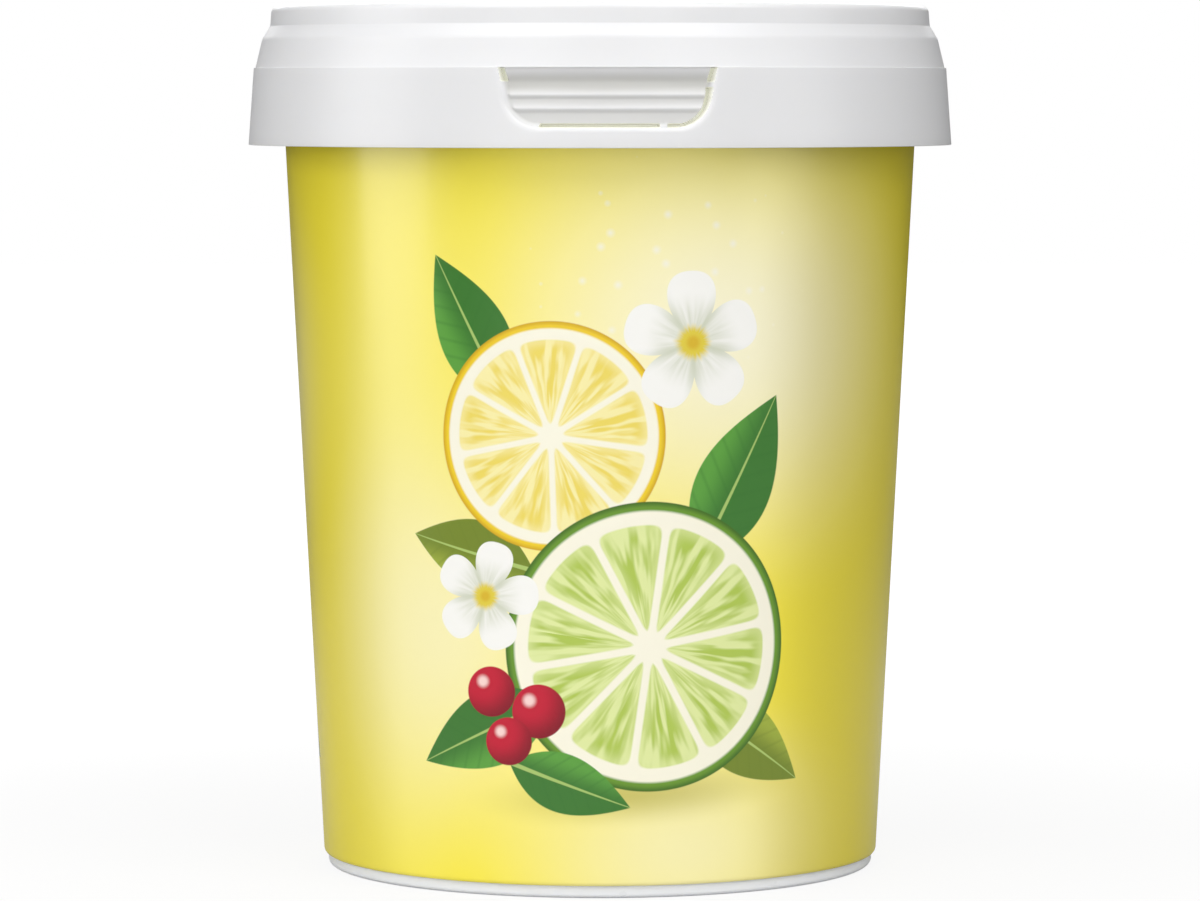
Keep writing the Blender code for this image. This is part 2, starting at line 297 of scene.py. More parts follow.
@dataclass(frozen=True)
class PrintSheet:
    """The unrolled label under the print: its nodes, and the point on it in millimetres."""

    sheet: NodeSheet
    point: Wire

    def local(self, at: tuple[float, float], turn: float, scale: tuple[float, float] = (1, 1)) -> Wire:
        """The point as seen from a motif.

        Args:
            at: The motif's place, in millimetres.
            turn: Its turn, in degrees anticlockwise.
            scale: What counts as 1 across and up.

        Returns:
            The point in the motif's own frame.
        """
        return self.sheet.add("ShaderNodeMapping", {"vector_type": "TEXTURE"}, {
            "Vector": self.point, "Location": (*at, 0),
            "Rotation": (0, 0, math.radians(turn)), "Scale": (*scale, 1)})

    def inside(self, distance: Wire, softness: float = PRINT_EDGE) -> Wire:
        """1 where a distance in millimetres is below 0 and 0 where it is above, with a soft edge."""
        return self.sheet.math("MULTIPLY_ADD", distance, -1 / softness, 0.5, clamp=True)


@dataclass(frozen=True)
class Glow:
    """A soft patch of another colour in the printed field."""

    at: tuple[float, float]
    reach: tuple[float, float]
    colour: Colour
    strength: float = 1
    turn: float = 0

    def paint(self, under: PrintSheet, colour: Wire | Colour) -> Wire:
        """The colour with the patch over it."""
        away = under.sheet.length(under.local(self.at, self.turn, self.reach))
        return under.sheet.mix(colour, self.colour, under.sheet.ramp(away, 1, 0, high=self.strength))


@dataclass(frozen=True)
class Leaf:
    """A pointed leaf, lighter on one side of its rib, with side veins. Lengths are millimetres."""

    at: tuple[float, float]
    turn: float
    length: float
    width: float
    light: Colour = Inks.LEAF
    dark: Colour = Inks.LEAF_DARK
    tip_taper: float = 0.25
    least_taper: float = 0.1
    light_start: float = -0.25
    light_end: float = 0.4
    least_light: float = 0.15
    veins: float = 8.5
    vein_lean: float = 0.8
    vein_reach: float = 0.42
    vein_edge: float = 0.16
    vein_strength: float = 0.28
    rib_width: tuple[float, float] = (0.05, 0.16)
    rib_edge: float = 0.14
    rib_strength: float = 0.8

    def paint(self, under: PrintSheet, colour: Wire) -> Wire:
        """The colour with the leaf over it."""
        sheet = under.sheet
        half = self.length / 2
        along, across, _ = sheet.split(under.local(self.at, self.turn))
        share = along / half
        side = abs(across)
        taper = (1 - share * self.tip_taper).most(self.least_taper)
        blade = side - (1 - share * share) * taper * (self.width / 2)
        vein = abs((along - side * self.vein_lean) / (self.length / self.veins)).fraction()
        vein = under.inside(abs(vein - 0.5) - self.vein_reach, self.vein_edge)
        at_tip, growth = self.rib_width
        rib = under.inside(side - (1 - share) * growth - at_tip, self.rib_edge)
        lit = sheet.ramp(across, self.light_start, self.width * self.light_end, low=self.least_light)
        face = sheet.mix(self.dark, self.light, lit)
        face = sheet.mix(face, self.dark, (1 - vein) * self.vein_strength)
        face = sheet.mix(face, Inks.VEIN, rib * self.rib_strength)
        return sheet.mix(colour, face, under.inside(blade))


@dataclass(frozen=True)
class CitrusSlice:
    """A round slice of citrus: rind, pith, and wedges of flesh between pale membranes.

    Its place, its radius and the edge of its flesh are millimetres, and its other lengths are shares of
    the radius.
    """

    at: tuple[float, float]
    radius: float
    turn: float
    wedges: int = 9
    flesh: tuple[Colour, Colour] = (Inks.JUICE, Inks.JUICE_LIGHT)
    skin: tuple[Colour, Colour] = (Inks.RIND, Inks.RIND_SHADE)
    membrane: float = 0.026
    flesh_end: float = 0.84
    outer_corner: float = 0.12
    core: float = 0.1
    inner_corner: float = 0.08
    fibres_across: float = 4.2
    fibres_along: float = 1.8
    fibre_scale: float = 1.7
    fibre_range: tuple[float, float] = (0.36, 0.66)
    pale_rim: float = 0.1
    pale_strength: float = 0.6
    flesh_edge: float = 0.3
    pith_fade: tuple[float, float] = (0.95, 0.925)
    rind_shade: float = 0.955

    def paint(self, under: PrintSheet, colour: Wire) -> Wire:
        """The colour with the slice over it."""
        sheet, radius = under.sheet, self.radius
        local = under.local(self.at, self.turn)
        x, y, _ = sheet.split(local)
        away = sheet.length(local)
        turns = sheet.math("ARCTAN2", y, x) * (self.wedges / FULL_TURN)
        offset = abs((turns + 0.5).fraction() - 0.5)
        membrane = (0.5 - offset) * away * (FULL_TURN / self.wedges) - radius * self.membrane
        wedge = membrane.blended_least(radius * self.flesh_end - away, radius * self.outer_corner)
        wedge = wedge.blended_least(away - radius * self.core, radius * self.inner_corner)
        spread = sheet.joined(turns * self.fibres_across, away * (self.fibres_along / radius))
        fibre = sheet.noise(spread, self.fibre_scale, 1, flat=True)
        flesh = sheet.mix(*self.flesh, sheet.ramp(fibre, *self.fibre_range))
        pale = sheet.ramp(wedge, radius * self.pale_rim, 0) * self.pale_strength
        flesh = sheet.mix(flesh, self.flesh[1], pale)
        rind = sheet.mix(*self.skin, sheet.ramp(away, radius * self.rind_shade, radius))
        start, end = self.pith_fade
        face = sheet.mix(rind, Inks.PITH, sheet.ramp(away, radius * start, radius * end))
        face = sheet.mix(face, flesh, under.inside(-1 * wedge, self.flesh_edge))
        return sheet.mix(colour, face, under.inside(away - radius))


@dataclass(frozen=True)
class Berry:
    """A round red berry with a glint. The glint's place and the fades are shares of the radius."""

    at: tuple[float, float]
    radius: float
    glint_at: tuple[float, float] = (-0.35, 0.4)
    glint_fade: tuple[float, float] = (0.34, 0.1)
    glint_strength: float = 0.9
    shade_fade: tuple[float, float] = (0.5, 1.5)
    shade_strength: float = 0.85

    def paint(self, under: PrintSheet, colour: Wire) -> Wire:
        """The colour with the berry over it."""
        sheet, radius = under.sheet, self.radius
        glint_at = tuple(place + radius * shift for place, shift in zip(self.at, self.glint_at))
        away = sheet.length(under.local(self.at, 0))
        lit = sheet.length(under.local(glint_at, 0))
        start, end = self.shade_fade
        shade = sheet.ramp(lit, radius * start, radius * end, high=self.shade_strength)
        face = sheet.mix(Inks.CRIMSON, Inks.CRIMSON_DARK, shade)
        start, end = self.glint_fade
        glint = sheet.ramp(lit, radius * start, radius * end, high=self.glint_strength)
        face = sheet.mix(face, Inks.GLINT, glint)
        return sheet.mix(colour, face, under.inside(away - radius))


@dataclass(frozen=True)
class Blossom:
    """A white flower of rounded petals round a golden middle. The fades are shares of the radius."""

    at: tuple[float, float]
    radius: float
    turn: float
    petals: int = 5
    notch: float = 0.52
    crease_start: float = 0.55
    crease_fade: tuple[float, float] = (1, 0.25)
    crease_strength: float = 0.9
    streaks: float = 6
    streak_scale: float = 1.6
    streak_fade: tuple[float, float] = (0.75, 0.25)
    heart_fade: tuple[float, float] = (0.34, 0.2)
    heart_wave: float = 0.1
    eye_fade: tuple[float, float] = (0.14, 0.04)
    eye_strength: float = 0.7

    def paint(self, under: PrintSheet, colour: Wire) -> Wire:
        """The colour with the flower over it."""
        sheet = under.sheet
        local = under.local(self.at, self.turn)
        x, y, _ = sheet.split(local)
        away = sheet.length(local) * (1 / self.radius)
        turns = sheet.math("ARCTAN2", y, x) * (self.petals / FULL_TURN)
        offset = abs((turns + 0.5).fraction() - 0.5) * 2
        blade = away - (1 - offset * offset * offset * self.notch)
        crease = sheet.ramp(offset, self.crease_start, 1) * sheet.ramp(away, *self.crease_fade)
        streak = sheet.noise(sheet.joined(turns * self.streaks, away), self.streak_scale, 1, flat=True)
        face = sheet.mix(Inks.PETAL, Inks.PETAL_SHADE, crease * self.crease_strength)
        face = sheet.mix(face, Inks.PETAL_SHADE, sheet.ramp(away, *self.streak_fade) * streak)
        heart = sheet.ramp(away + streak * self.heart_wave, *self.heart_fade)
        face = sheet.mix(face, Inks.GOLD, heart)
        face = sheet.mix(face, Inks.RIND_SHADE, sheet.ramp(away, *self.eye_fade) * self.eye_strength)
        return sheet.mix(colour, face, under.inside(blade * self.radius))


@dataclass(frozen=True)
class Frost:
    """Fine cream dots scattered in a soft-edged patch. Their edge is a share of their pitch."""

    at: tuple[float, float]
    reach: tuple[float, float]
    pitch: float
    size: float
    scatter: float = 0.85
    crowded: float = 0.35
    edge: float = 0.12
    strength: float = 0.85

    def paint(self, under: PrintSheet, colour: Wire) -> Wire:
        """The colour with the dots over it."""
        sheet = under.sheet
        dots = sheet.add("ShaderNodeTexVoronoi", {"voronoi_dimensions": "2D", "feature": "F1"}, {
            "Vector": under.point, "Scale": 1 / self.pitch, "Randomness": self.scatter})
        near = sheet.length(under.local(self.at, 0, self.reach))
        room = sheet.ramp(near, 1, self.crowded) * (self.size / self.pitch)
        dot = under.inside(dots - room + self.edge / 2, self.edge)
        return sheet.mix(colour, Inks.PITH, dot * self.strength)


@dataclass(frozen=True)
class PaintedShadeBand:
    """Painted shade: a deeper stretch of the field, from the foot to the top of the label, on one side of
    the tub, that stands in for the shade on the tub's sides.

    Its start and its full depth are cosines of the angle from its middle.
    """

    at: float
    start: float
    tint: Colour
    full: float = 1.013

    def paint(self, sheet: NodeSheet, angle: Wire, colour: Wire) -> Wire:
        """The colour with the band's painted shade over it, at an angle round the tub."""
        nearness = sheet.math("COSINE", angle - math.radians(self.at))
        return sheet.shade(colour, self.tint, sheet.ramp(nearness, self.start, self.full))


@dataclass(frozen=True)
class Artwork:
    """The printed design: a lemon-yellow field with pale glows, and fruit, leaves and flowers, with painted
    shade bands at the sides and a painted highlight stripe on the left.
    """

    copy_angle: float = math.radians(124)
    painted_shade_bands: tuple[PaintedShadeBand, ...] = (
        PaintedShadeBand(58, 0.85, (0.74, 0.73, 0.70)),
        PaintedShadeBand(-70, 0.88, (0.84, 0.83, 0.72)),
    )
    glows: tuple[Glow, ...] = (
        Glow((19, 91), (53, 49), Inks.CREAM),
        # painted highlight: this tall pale stripe on the left, and in part the cream glow below it, stand in
        # for a softbox's reflection on the film; the other glows are print
        Glow((-37, 70), (23, 100), Inks.PALE, 0.6),
        Glow((-25, 43), (38, 44), Inks.CREAM, 0.65),
        Glow((13, 8), (40, 30), Inks.CREAM, 0.65),
        Glow((-104, 84), (56, 46), Inks.CREAM, 0.9),
        Glow((126, 56), (50, 46), Inks.CREAM, 0.7),
        Glow((-120, 10), (40, 30), Inks.CREAM, 0.5),
    )
    motifs: tuple = (
        Glow((5, 17), (30, 6), Inks.SHADOW, 0.6, 3),
        Frost((10, 101), (30, 24), 6.5, 0.9),
        Leaf((22, 68), 62, 30, 13.5),
        Leaf((-22.5, 92), 118, 27, 12),
        Leaf((24, 25), -34, 24, 11.5, Inks.OLIVE, Inks.OLIVE_DARK),
        Leaf((-22.5, 56), 166, 22, 11, Inks.OLIVE, Inks.OLIVE_DARK),
        CitrusSlice((-9, 75), 18.5, 12, 9),
        Blossom((14, 90), 11.5, 20),
        CitrusSlice((7, 41), 23.5, -8, 10, (Inks.LIME, Inks.LIME_LIGHT),
                    (Inks.LIME_RIND, Inks.LIME_RIND_SHADE)),
        Leaf((-20, 27), 206, 25, 12),
        Leaf((-6, 18.5), -20, 21, 9.5),
        Blossom((-20, 49), 9, 75),
        Berry((-19, 33.5), 4.1),
        Berry((-11, 30.5), 4.4),
        Berry((-16, 25.5), 3.9),
    )

    def colour(self, sheet: NodeSheet, angle: Wire, radius: Wire, up: Wire) -> Wire:
        """The printed colour: a field that runs round the label, with painted shade and a painted highlight
        in it, and three copies of the motifs.

        Args:
            sheet: The node tree to work in.
            angle: The angle round the tub from the middle of the front, in radians.
            radius: The label's radius there, in millimetres.
            up: The height, in millimetres.

        Returns:
            The colour.
        """
        colour = Inks.LEMON
        whole = PrintSheet(sheet, sheet.joined(angle * radius, up))
        for glow in self.glows:
            colour = glow.paint(whole, colour)
        # painted shade towards the sides of the tub
        for band in self.painted_shade_bands:
            colour = band.paint(sheet, angle, colour)
        behind = sheet.math("SIGN", angle) * sheet.math("GREATER_THAN", abs(angle), self.copy_angle / 2)
        copy = PrintSheet(sheet, sheet.joined((angle - behind * self.copy_angle) * radius, up))
        for motif in self.motifs:
            colour = motif.paint(copy, colour)
        return colour


# Finishes


@dataclass(frozen=True)
class MouldedPlastic:
    """White polypropylene: slightly translucent, satin, with a faint orange-peel skin."""

    name: str
    colour: Colour
    roughness: float = 0.34
    refraction: float = 1.49
    translucency: float = 0.3
    light_depth: float = 0.9 * MM
    light_spread: tuple[float, float, float] = (1.0, 0.95, 0.85)
    cloud_scale: float = 60
    cloud_tint: Colour = (0.97, 0.972, 0.975)
    cloud_dulling: float = 0.06
    scuff_scale: float = 260
    scuff_dulling: float = 0.10
    skin_scale: float = 900
    skin_depth: float = 0.006 * MM
    skin_strength: float = 0.6
    # emission colour: where it is not black, a painted glow that stands in for light
    glow: Colour = (0, 0, 0)

    def with_painted_shade(self, sheet: NodeSheet, point: Wire, colour: Wire) -> Wire:
        """The clouded colour with any painted shade at a point; a plain piece has none."""
        return colour

    def dress(self, piece: bpy.types.Object) -> None:
        """Adds this finish to the piece's finishes."""
        material, sheet = new_material(self.name)
        point = sheet.object_point()
        cloud = sheet.noise(point, self.cloud_scale, 2)
        skin = sheet.noise(point, self.skin_scale, 2)
        scuff = sheet.noise(point, self.scuff_scale, 4)
        colour = self.with_painted_shade(sheet, point, sheet.shade(self.colour, self.cloud_tint, cloud))
        dulling = (scuff - 0.5) * self.scuff_dulling
        roughness = self.roughness + dulling + (cloud - 0.5) * self.cloud_dulling
        shader = sheet.add("ShaderNodeBsdfPrincipled", sockets={
            "Base Color": colour, "Roughness": roughness, "IOR": self.refraction,
            "Subsurface Weight": self.translucency, "Subsurface Radius": self.light_spread,
            "Subsurface Scale": self.light_depth, "Emission Color": self.glow, "Emission Strength": 1,
            "Normal": sheet.bump(skin, self.skin_depth, self.skin_strength)})
        sheet.add("ShaderNodeOutputMaterial", sockets={"Surface": shader})
        piece.data.materials.append(material)


@dataclass(frozen=True, kw_only=True)
class LidPlastic(MouldedPlastic):
    """The lid's plastic, with painted shade and warm painted bounce light where the tab is set back from the
    skirt's line.

    That line is a radius that grows with height: its value at z = 0, its slope, and where it ends.
    """

    skirt_foot: float
    skirt_slope: float
    skirt_top: float
    hollow: tuple[float, float] = (0.3 * MM, 1.35 * MM)
    # painted shade and warm bounce light in the tab's hollow, multiplied in by depth
    tint: Colour = (0.76, 0.755, 0.71)

    def with_painted_shade(self, sheet: NodeSheet, point: Wire, colour: Wire) -> Wire:
        """The colour, with painted shade and warm bounce light by its depth inside the line of the skirt."""
        x, y, z = sheet.split(point)
        depth = z * self.skirt_slope + self.skirt_foot - sheet.length(sheet.joined(x, y))
        below = sheet.math("LESS_THAN", z, self.skirt_top)
        return sheet.shade(colour, self.tint, sheet.ramp(depth, *self.hollow) * below)


@dataclass(frozen=True)
class PrintedFilm:
    """The label's printed film, moulded into the wall: semi-gloss, with the print under its skin."""

    name: str
    artwork: Artwork
    bottom_radius: float
    taper: float
    roughness: float = 0.22
    refraction: float = 1.56
    cloud_scale: float = 90
    cloud_dulling: float = 0.08
    peel_scale: float = 700
    peel_depth: float = 0.006 * MM
    peel_strength: float = 0.5

    def print_colour(self, sheet: NodeSheet, point: Wire) -> Wire:
        """The print at a point of the film, with the painted shade and painted highlight in its field."""
        x, y, z = sheet.split(point)
        angle = sheet.math("ARCTAN2", x, y * -1)
        radius = z * (self.taper / MM) + self.bottom_radius / MM
        return self.artwork.colour(sheet, angle, radius, z * (1 / MM))

    def dress(self, piece: bpy.types.Object) -> None:
        """Gives the piece this finish."""
        material, sheet = new_material(self.name)
        point = sheet.object_point()
        peel = sheet.noise(point, self.peel_scale, 2)
        cloud = sheet.noise(point, self.cloud_scale, 2)
        shader = sheet.add("ShaderNodeBsdfPrincipled", sockets={
            "Base Color": self.print_colour(sheet, point), "IOR": self.refraction,
            "Roughness": self.roughness + (cloud - 0.5) * self.cloud_dulling,
            "Normal": sheet.bump(peel, self.peel_depth, self.peel_strength)})
        sheet.add("ShaderNodeOutputMaterial", sockets={"Surface": shader})
        piece.data.materials.append(material)


# Meshes


def rounded(corners: list[tuple[float, float, float]], steps: int = 8) -> Outline:
    """Turns corners into an outline with an arc at each rounded one.

    Args:
        corners: (r, z, fillet radius) of each corner; the first and last are never rounded.
        steps: Steps in each arc.

    Returns:
        The outline as (r, z) points.
    """
    outline = []
    for index, (r, z, radius) in enumerate(corners):
        here = Vector((r, z))
        if radius == 0:
            outline.append((r, z))
            continue
        back = (Vector(corners[index - 1][:2]) - here).normalized()
        ahead = (Vector(corners[index + 1][:2]) - here).normalized()
        half = math.acos(max(-1.0, min(1.0, back.dot(ahead)))) / 2
        centre = here + (back + ahead).normalized() * (radius / math.sin(half))
        start = here + back * (radius / math.tan(half)) - centre
        end = here + ahead * (radius / math.tan(half)) - centre
        begin = math.atan2(start.y, start.x)
        sweep = (math.atan2(end.y, end.x) - begin + math.pi) % FULL_TURN - math.pi
        for step in range(steps + 1):
            angle = begin + sweep * step / steps
            outline.append((centre.x + radius * math.cos(angle), centre.y + radius * math.sin(angle)))
    return outline


def spaced(start: float, end: float, pitch: float) -> list[float]:
    """Values from start up to end, without end, at about the pitch."""
    count = max(1, round(abs(end - start) / pitch))
    return [start + (end - start) * step / count for step in range(count)]


def ease(share: np.ndarray) -> np.ndarray:
    """Smooth step from 0 to 1."""
    return (1 - np.cos(math.pi * np.clip(share, 0, 1))) / 2


def quarter_round(away: np.ndarray, reach: float, depth: np.ndarray | float) -> np.ndarray:
    """A rounded edge: full depth at the edge itself, and none from its reach on."""
    share = np.clip(1 - away / reach, 0, 1)
    return depth * (1 - np.sqrt(1 - share * share))


def blended_most(first: np.ndarray, second: np.ndarray, width: float) -> np.ndarray:
    """The larger of the two, rounded off over a width where they meet."""
    overlap = np.maximum(width - np.abs(first - second), 0) / width
    return np.maximum(first, second) + overlap * overlap * width / 4


def quads(rows: int, columns: int, wrap: bool) -> np.ndarray:
    """Quads of a grid of vertices numbered row by row, as [row, column, corner]."""
    across = columns if wrap else columns - 1
    row, column = np.mgrid[0:rows - 1, 0:across]
    after = (column + 1) % columns
    corners = (row * columns + column, row * columns + after,
               (row + 1) * columns + after, (row + 1) * columns + column)
    return np.stack(corners, axis=-1)


def make_piece(name: str, points: np.ndarray, faces: list, sharp: float) -> bpy.types.Object:
    """Makes a smooth-shaded object.

    Args:
        name: Its name.
        points: Its vertices.
        faces: Its faces.
        sharp: The angle, in degrees, above which an edge stays sharp.

    Returns:
        The object, linked to the scene.
    """
    mesh = bpy.data.meshes.new(name)
    mesh.from_pydata(points.tolist(), [], faces)
    bm = bmesh.new()
    bm.from_mesh(mesh)
    bmesh.ops.delete(bm, geom=[vert for vert in bm.verts if not vert.link_faces], context="VERTS")
    bmesh.ops.recalc_face_normals(bm, faces=bm.faces)
    bm.to_mesh(mesh)
    bm.free()
    mesh.shade_smooth()
    mesh.set_sharp_from_angle(angle=math.radians(sharp))
    piece = bpy.data.objects.new(name, mesh)
    bpy.context.scene.collection.objects.link(piece)
    return piece


@dataclass
class Skin:
    """A closed skin round Z: rows from one pole of the axis to the other, columns round the ring."""

    radius: np.ndarray
    height: np.ndarray
    angle: np.ndarray

    def points(self) -> np.ndarray:
        """Vertices of the rows between the poles, then the two poles."""
        x = self.radius * np.sin(self.angle)
        y = -self.radius * np.cos(self.angle)
        ring = np.stack((x, y, self.height), axis=-1)
        poles = [(0, 0, self.height[0, 0]), (0, 0, self.height[-1, 0])]
        return np.vstack((ring[1:-1].reshape(-1, 3), poles))

    def faces(self, kept: np.ndarray | None = None) -> list[list[int]]:
        """Faces of the skin; kept says for each cell between the poles whether it is there."""
        rows, columns = self.radius.shape[0] - 2, self.radius.shape[1]
        cells = quads(rows, columns, True)
        if kept is not None:
            cells = cells[kept]
        faces = cells.reshape(-1, 4).tolist()
        first_pole, last = rows * columns, (rows - 1) * columns
        for column in range(columns):
            after = (column + 1) % columns
            faces.append([first_pole, after, column])
            faces.append([first_pole + 1, last + column, last + after])
        return faces


def turned(name: str, section: Outline, columns: int, sharp: float = 30) -> bpy.types.Object:
    """A solid of revolution of a section that starts and ends on the axis."""
    angle = np.linspace(-math.pi, math.pi, columns, endpoint=False)
    r, z = (np.array(part)[:, None] + np.zeros(columns) for part in zip(*section))
    skin = Skin(r, z, angle)
    return make_piece(name, skin.points(), skin.faces(), sharp)


@dataclass
class Tub:
    """The white tub: its foot ring, recessed underside and wall, and the collar under the lid.

    The wall behind the tab's slots has a painted glow, which stands in for light that comes through the
    lid's thin skirt.
    """

    foot_inner: float = 43.4 * MM
    foot_outer: float = 45.9 * MM
    foot_height: float = 1.5 * MM
    recess: float = 1.6 * MM
    gate_radius: float = 2.4 * MM
    gate_drop: float = 0.6 * MM
    gate_bevel: float = 0.3 * MM
    wall_start: tuple[float, float] = (45.91 * MM, 2.3 * MM)
    taper: float = 0.0518
    collar_bottom: float = 123.6 * MM
    collar_web: float = 125.4 * MM
    collar_top: float = 126.4 * MM
    collar_lip: float = 1.0 * MM
    rim: tuple[float, float] = (51.9 * MM, 53.6 * MM)
    rim_bead: float = 1.6 * MM
    fill: float = 139.1 * MM
    colour: Colour = ink(244, 246, 250)
    roughness: float = 0.3
    # painted glow on the wall behind the slots, standing in for light through the skirt
    glow: Colour = (0.33, 0.33, 0.25)
    painted_glow_angle: float = math.radians(23)
    columns: int = 240

    def wall(self, z: float) -> float:
        """Outer radius of the wall at a height."""
        r, start = self.wall_start
        return r + self.taper * (z - start)

    def section(self) -> Outline:
        """Half section, from the middle of the underside round to the middle of the top."""
        top = Solid.TUB.high.z
        collar = Solid.TUB.high.x
        rim_inner, rim_outer = self.rim
        return rounded([
            (0, self.recess - self.gate_drop, 0),
            (self.gate_radius, self.recess - self.gate_drop, 0.25 * MM),
            (self.gate_radius + self.gate_bevel, self.recess, 0.25 * MM),
            (self.foot_inner - self.recess, self.recess, 1.2 * MM),
            (self.foot_inner, 0, 0.35 * MM),
            (self.foot_outer, 0, 0.8 * MM),
            (self.foot_outer, self.foot_height, 0.15 * MM),
            (*self.wall_start, 0.2 * MM),
            (self.wall(self.collar_web), self.collar_web, 0.5 * MM),
            (collar - self.collar_lip, self.collar_web, 0.4 * MM),
            (collar - self.collar_lip, self.collar_bottom, 0.3 * MM),
            (collar, self.collar_bottom, 0.3 * MM),
            (collar, self.collar_top, 0.4 * MM),
            (self.wall(self.collar_top), self.collar_top, 0.4 * MM),
            (self.wall(top - self.rim_bead), top - self.rim_bead, 0),
            (rim_outer, top - self.rim_bead, 0.3 * MM),
            (rim_outer, top, 0.5 * MM),
            (rim_inner, top, 0.5 * MM),
            (rim_inner, self.fill, 0.5 * MM),
            (0, self.fill, 0),
        ])

    def build(self) -> bpy.types.Object:
        """Makes and dresses the tub."""
        piece = turned("tub_shell", self.section(), self.columns)
        MouldedPlastic("white_tub_plastic", self.colour, self.roughness).dress(piece)
        # second finish, with a painted glow, for the faces behind the slots
        MouldedPlastic("tub_plastic_painted_glow", self.colour, self.roughness, glow=self.glow).dress(piece)
        for face in piece.data.polygons:
            x, y, z = face.center
            behind_slots = z > self.collar_bottom and math.atan2(abs(x), -y) < self.painted_glow_angle
            face.material_index = int(behind_slots)
        return piece


@dataclass
class Label:
    """The printed film round the tub, open by a narrow seam at the back."""

    gap: float = 0.3 * MM
    thickness: float = 0.45 * MM
    edge: float = 0.35 * MM
    edge_steps: int = 8
    seam: float = 0.8 * MM
    row_pitch: float = 4 * MM
    columns: int = 360
    artwork: Artwork = field(default_factory=Artwork)

    def outer(self, z: float, tub: Tub) -> float:
        """Outer radius of the film at a height."""
        return tub.wall(z) + self.gap + self.thickness

    def section(self, tub: Tub) -> np.ndarray:
        """Section of the film as rows of (r, z), up its outer face from a rounded foot and down its back."""
        low, high = Solid.LABEL.low.z, Solid.LABEL.high.z
        outer = []
        for step in range(self.edge_steps + 1):
            turn = math.pi / 2 * step / self.edge_steps
            z = low + self.edge * 2 * (1 - math.cos(turn))
            outer.append((self.outer(z, tub) - self.edge * (1 - math.sin(turn)), z))
        rows = (*spaced(low + self.edge * 3, high, self.row_pitch), high)
        outer += [(self.outer(z, tub), z) for z in rows]
        inner = [(self.outer(z, tub) - self.thickness, z) for _, z in outer]
        return np.array(outer + inner[::-1])

    def faces(self, count: int) -> list[list[int]]:
        """Faces round the film, along its foot and at its two ends, for a section of count points."""
        faces = quads(count, self.columns, False).reshape(-1, 4).tolist()
        last = (count - 1) * self.columns
        faces += [[last + i, last + i + 1, i + 1, i] for i in range(self.columns - 1)]
        for column in (0, self.columns - 1):
            ends = [row * self.columns + column for row in range(count)]
            faces += [[ends[i], ends[i + 1], ends[-2 - i], ends[-1 - i]] for i in range(count // 2 - 1)]
        return faces

    def build(self, tub: Tub) -> bpy.types.Object:
        """Makes and dresses the label round the tub."""
        section = self.section(tub)
        half = math.pi - self.seam / 2 / self.outer(Solid.LABEL.high.z, tub)
        angle = np.linspace(-half, half, self.columns)
        r, z = section[:, :1], section[:, 1:]
        points = np.stack((r * np.sin(angle), -r * np.cos(angle), z + 0 * angle), axis=-1)
        piece = make_piece("label_film", points.reshape(-1, 3), self.faces(len(section)), 35)
        PrintedFilm("printed_film", self.artwork, self.outer(0, tub), tub.taper).dress(piece)
        return piece


